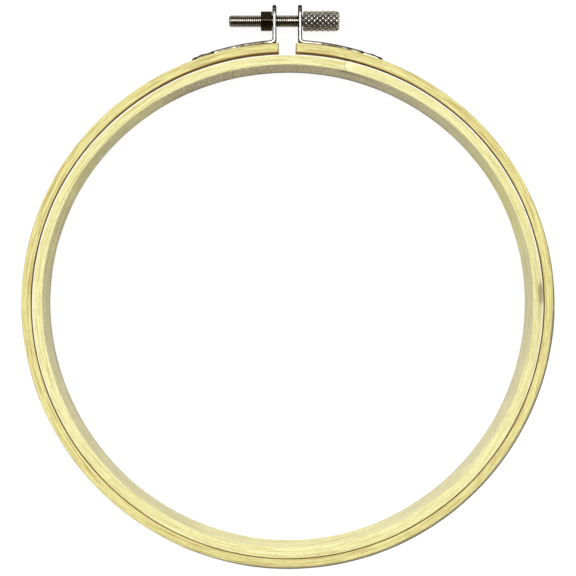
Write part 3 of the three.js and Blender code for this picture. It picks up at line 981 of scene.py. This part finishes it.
def sliced_blank(loops, rounding, cuts):
    """The flat blank as a bmesh, with an edge loop across it at each cut."""
    points, faces, rims = blank_solid(loops, rounding)
    for level, rim in rims.items():
        order = [index for loop in rim for index in loop]
        corners = [[Vector(points[index]) for index in loop] for loop in rim]
        for triangle in tessellate_polygon(corners):
            face = tuple(order[index] for index in triangle)
            faces.append(face if level == 0 else tuple(reversed(face)))
    flat = bpy.data.meshes.new("blank")
    flat.from_pydata(points, [], faces)
    sheet = bmesh.new()
    sheet.from_mesh(flat)
    bpy.data.meshes.remove(flat)
    bmesh.ops.recalc_face_normals(sheet, faces=sheet.faces)
    for cut in cuts:
        everything = sheet.verts[:] + sheet.edges[:] + sheet.faces[:]
        bmesh.ops.bisect_plane(sheet, geom=everything, dist=1e-5, plane_co=(cut, 0, 0),
                               plane_no=(1, 0, 0))
    sheet.verts.ensure_lookup_table()
    return sheet


def make_bracket(side, material):
    """A stamped blank with a screw hole and two rivet holes, bent to its shape."""
    place, along_at, lug_length, foot_start = bracket_path()
    bend_middle = (lug_length + foot_start) / 2
    foot_end, tongue_end = along_at(FOOT_REACH), along_at(TONGUE_REACH)

    def rounding(along):
        """The cut edges are rounder on the foot than on the lug, and crisp at the step."""
        share = unit((along - bend_middle) / (foot_start - lug_length + 1.5))
        radius = LUG_ROUNDING + (FOOT_ROUNDING - LUG_ROUNDING) * share
        return min(radius, 0.18 + max(0.0, abs(along - foot_end) - 0.3))

    cuts = [*np.arange(0.5, lug_length, 0.8), *np.linspace(lug_length, foot_start, 13),
            *np.arange(foot_start + 0.7, tongue_end, 0.7)]
    sheet = sliced_blank(bracket_loops(along_at, foot_start), rounding, cuts)
    dull_plating_places = [foot_start, *(along_at(reach) for reach in DULL_PLATING_REACHES)]
    bent, painted_shade, dull_plating = [], [], []
    for vertex in sheet.verts:
        x, y, width = place(*vertex.co)
        bent.append((side * x, y, CLAMP_MIDDLE + width))
        along = vertex.co.x
        # Painted shade: the rounded cut edges, the lug's top and the ends of foot and tongue are
        # darkened
        from_face = min(vertex.co.z, SHEET - vertex.co.z) / rounding(along)
        on_edge = min(1.0, from_face / 0.04)
        round_edge = (1.0 - from_face) / 0.2
        end_dark = max((2.6 - along) / 1.4, 1.4 - 1.6 * abs(along - foot_end),
                       1.5 - 1.1 * abs(along - tongue_end + 0.9))
        painted_shade.append(on_edge * unit(max(round_edge, end_dark)))
        # The plating is made duller and darker in patches along the foot and tongue
        patchy = 1.0 + 0.7 * noise.noise(Vector((1.1 * along, side * 3.0, 0.5)))
        dull_plating.append(on_edge * patchy * np.interp(along, dull_plating_places, [0.0, *DULL_PLATING[side]]))
    bent_faces = [tuple(vertex.index for vertex in face.verts) for face in sheet.faces]
    sheet.free()
    name, body = SIDES[side]
    bracket = mesh_piece(f"{name}_bracket_stamped", bent, bent_faces, sharp=40)
    paint(bracket.data, "painted_shade", painted_shade)
    paint(bracket.data, "dull_plating", dull_plating)
    finish_piece(bracket, material, body, "bracket_steel", f"{name}_bracket")


# Screw, knob and nut


def about_screw(x, radius, turn):
    """A point at a distance from the screw's axis. Turn 0 is towards the front."""
    return (x, SCREW_HEIGHT + radius * math.sin(turn), CLAMP_MIDDLE + radius * math.cos(turn))


class Turning:
    """Rows of points round the screw's axis, each point with how much painted shade it gets."""

    def __init__(self, columns, lean=0.0):
        self.turns = [math.tau * column / columns for column in range(columns)]
        self.lean = lean
        self.points, self.painted_shade = [], []

    def row(self, x, radius, painted_shade=0.0):
        """Radius and painted shade are numbers or functions of the turn."""
        for turn in self.turns:
            reach, depth = (value(turn) if callable(value) else value
                            for value in (radius, painted_shade))
            self.points.append(about_screw(x, reach, turn - self.lean))
            self.painted_shade.append(depth)

    def piece(self, name, sharp, ends, material, body, slot, node):
        """Ends are the two points on the axis that close the tube, as x and painted shade. Without
        them the last row meets the first."""
        columns = len(self.turns)
        rows = len(self.points) // columns
        faces = capped_grid(rows, columns) if ends else grid_faces(rows, columns, wrap_rows=True)
        self.points += [about_screw(x, 0, 0) for x, painted_shade in ends]
        self.painted_shade += [painted_shade for x, painted_shade in ends]
        piece = mesh_piece(name, self.points, faces, sharp)
        paint(piece.data, "painted_shade", self.painted_shade)
        finish_piece(piece, material, body, slot, node)


def thread_height(x, turn):
    """0 in the thread's root and 1 on its crest, with both rounded a little."""
    phase = (x / THREAD_PITCH - turn / math.tau) % 1.0
    rise = 1 - abs(2 * phase - 1)
    return min(1.0, max(0.0, (rise - 0.08) / 0.4))


def make_screw_rod(material):
    step = 0.05
    root = THREAD_RADIUS - THREAD_DEPTH

    def radius_at(x, turn):
        chamfer = THREAD_RADIUS - 0.42 + (x - SCREW_TAIL_END)
        return min(root + THREAD_DEPTH * thread_height(x, turn), chamfer)

    # Painted shade, darkest in the thread's roots
    def painted_shade_at(x, turn):
        return 0.75 * (1 - (radius_at(x, turn) - root) / THREAD_DEPTH)

    rod = Turning(60)
    for index in range(round((THREAD_END - SCREW_TAIL_END) / step) + 1):
        x = SCREW_TAIL_END + step * index
        rod.row(x, lambda turn: radius_at(x, turn), lambda turn: painted_shade_at(x, turn))
    # Painted shade on the plain pin
    for x, radius in ((THREAD_END + 0.05, root), (PIN_END - 0.2, root), (PIN_END, root - 0.2)):
        rod.row(x, radius, 0.5)
    rod.piece("screw_rod_threaded", 50, ((SCREW_TAIL_END, 0.0), (PIN_END, 0.5)), material,
              "thumb_screw", "screw_steel", "screw_rod")


def knurl_height(x, turn):
    """0 in the grooves and 1 on the crowns of the diamonds."""
    around = KNURLS_AROUND * turn / math.tau
    height = 1.0
    for phase in (x / KNURL_LENGTH + around, x / KNURL_LENGTH - around):
        height *= abs(math.sin(math.pi * phase)) ** 0.9
    return 1.5 * height / (0.5 + height)


def make_knob(material):
    per_diamond = 18
    step = KNURL_LENGTH / per_diamond
    inner_chamfer, outer_chamfer = 0.35, 0.6

    def side_radius(x, turn):
        chamfer = KNOB_RADIUS - max(0.0, inner_chamfer - x, x - KNOB_LENGTH + outer_chamfer)
        return min(chamfer, KNOB_RADIUS - KNURL_DEPTH * (1 - knurl_height(x, turn)))

    knob = Turning(per_diamond * KNURLS_AROUND)
    # Painted shade in the bore and in the knurl's grooves
    for x, radius in ((KNOB_BORE_DEPTH, 0.9), (KNOB_BORE_DEPTH - 0.5, KNOB_BORE_RADIUS),
                      (0.2, KNOB_BORE_RADIUS), (0.0, KNOB_BORE_RADIUS + 0.2)):
        knob.row(KNOB_START + x, radius, 0.7)
    knob.row(KNOB_START, 0.8 * KNOB_RADIUS, 0.1)
    count = int((KNOB_LENGTH - 0.02) / step)
    for x in [step * index for index in range(count + 1)] + [KNOB_LENGTH]:
        knob.row(KNOB_START + x, lambda turn: side_radius(x, turn),
                 lambda turn: 1 - knurl_height(x, turn))
    for x, radius in ((0.0, 1.9), (0.03, 1.7), (0.03, 0.6), (0.12, 0.4)):
        knob.row(KNOB_START + KNOB_LENGTH - x, radius)
    ends = ((KNOB_START + KNOB_BORE_DEPTH, 0.7), (KNOB_START + KNOB_LENGTH - 0.12, 0.0))
    knob.piece("knurled_knob_cut", 50, ends, material, "thumb_screw", "knob_steel",
               "knurled_knob")


def hexagon_radius(turn):
    """Distance to a hexagon's side, with corners that are rounded a little. A corner is at
    turn 0."""
    sharpness = 40
    total = sum(max(0.0, math.cos(turn - math.radians(30 + 60 * side))) ** sharpness
                for side in range(6))
    return NUT_ACROSS_FLATS / 2 * total ** (-1 / sharpness)


def make_nut(material):
    stations = [0, 0.02, 0.06, 0.12, 0.2, 0.3, 0.45, 0.7, 1.1]
    stations += [NUT_THICKNESS - x for x in reversed(stations)]
    sharpness, cone_slope = 60, math.tan(math.radians(60))
    # Painted shade in the bore
    bore = [(0.35, SCREW_HOLE_RADIUS, 0.8), (0.0, SCREW_HOLE_RADIUS + 0.3, 0.0)]

    def side_radius(x, turn):
        depth = min(x, NUT_THICKNESS - x)
        cone = NUT_ACROSS_FLATS / 2 + 0.12 + depth * cone_slope
        flat = hexagon_radius(turn)
        return (flat ** -sharpness + cone ** -sharpness) ** (-1 / sharpness)

    nut = Turning(144, math.radians(NUT_TURN))
    for x, radius, painted_shade in bore:
        nut.row(NUT_INNER_FACE - x, radius, painted_shade)
    for x in stations:
        nut.row(NUT_INNER_FACE - x, lambda turn: side_radius(x, turn))
    for x, radius, painted_shade in reversed(bore):
        nut.row(NUT_INNER_FACE - NUT_THICKNESS + x, radius, painted_shade)
    nut.piece("captive_nut_hex", 40, (), material, "outer_hoop", "nut_steel", "captive_nut")


# The scene


def make_hoop():
    # The inner ring's near-white rim colour is a painted highlight
    make_inner_ring(bamboo(
        "inner_bamboo_pale", pale=srgb(241, 238, 178), middle=srgb(232, 227, 160),
        dark=srgb(208, 192, 116), skin_and_shadow=srgb(232, 226, 166), wall=srgb(239, 232, 186),
        edge=(srgb(232, 226, 158), 0.2, 0.25),
        rim=(srgb(255, 255, 250), 1.0, INNER_RING_WALL - 0.55)))
    # The outer ring's dark grey skin colour is a painted shadow, and its brown edge colour is
    # partly painted shade
    make_outer_ring(bamboo(
        "outer_bamboo_warm", pale=srgb(236, 230, 156), middle=srgb(224, 215, 140),
        dark=srgb(178, 150, 76), skin_and_shadow=srgb(104, 100, 84), wall=srgb(208, 188, 124),
        edge=(srgb(150, 110, 44), 0.95, 0.5),
        rim=(srgb(206, 196, 140), 0.4, OUTER_RING_WALL - 0.4)))
    bracket = plated_metal("bracket_nickel", base=srgb(220, 217, 208), dirt_and_shade=srgb(44, 34, 20),
                           tarnish=srgb(132, 116, 88), roughness=0.24, along=(0.25, 2.5, 0.25))
    rivet = plated_metal("rivet_nickel", base=srgb(200, 196, 184), tarnish=srgb(128, 112, 84),
                         roughness=0.3, along=(0.4, 0.4, 0.4))
    # The nut's and the screw's nickel is painted darker than the brackets' as painted shade, the
    # nut much more
    nut = plated_metal("nut_nickel_painted_dark", base=srgb(86, 80, 64), tarnish=srgb(48, 43, 31),
                       roughness=0.24, along=(0.2, 1.2, 1.2))
    screw = plated_metal("screw_nickel_painted_dark", base=srgb(170, 166, 156), tarnish=srgb(104, 90, 66),
                         roughness=0.16, along=(0.5, 0.3, 0.3))
    knob = plated_metal("knob_nickel", base=srgb(214, 211, 202), tarnish=srgb(132, 120, 96),
                        roughness=0.18, along=(0.12, 1.0, 1.0))
    for side in SIDES:
        make_bracket(side, bracket)
        for place in RIVET_REACHES:
            make_rivet(side, place, rivet)
    make_nut(nut)
    make_screw_rod(screw)
    make_knob(knob)


bpy.context.scene.view_settings.view_transform = "Standard"
make_camera()
white = stage_white()
floor = make_floor(white)
make_backdrop(white)
make_world()
make_sun("key", strength=1.15, spread=24, tilt=7)
make_sun("panel", strength=1.7, spread=31, tilt=2, seen_in="glossy")
make_sun("fill", strength=1.61, spread=100, tilt=0)
make_sun("side", strength=0.85, spread=70, tilt=58, azimuth=-28, skipped=floor)
make_hoop()
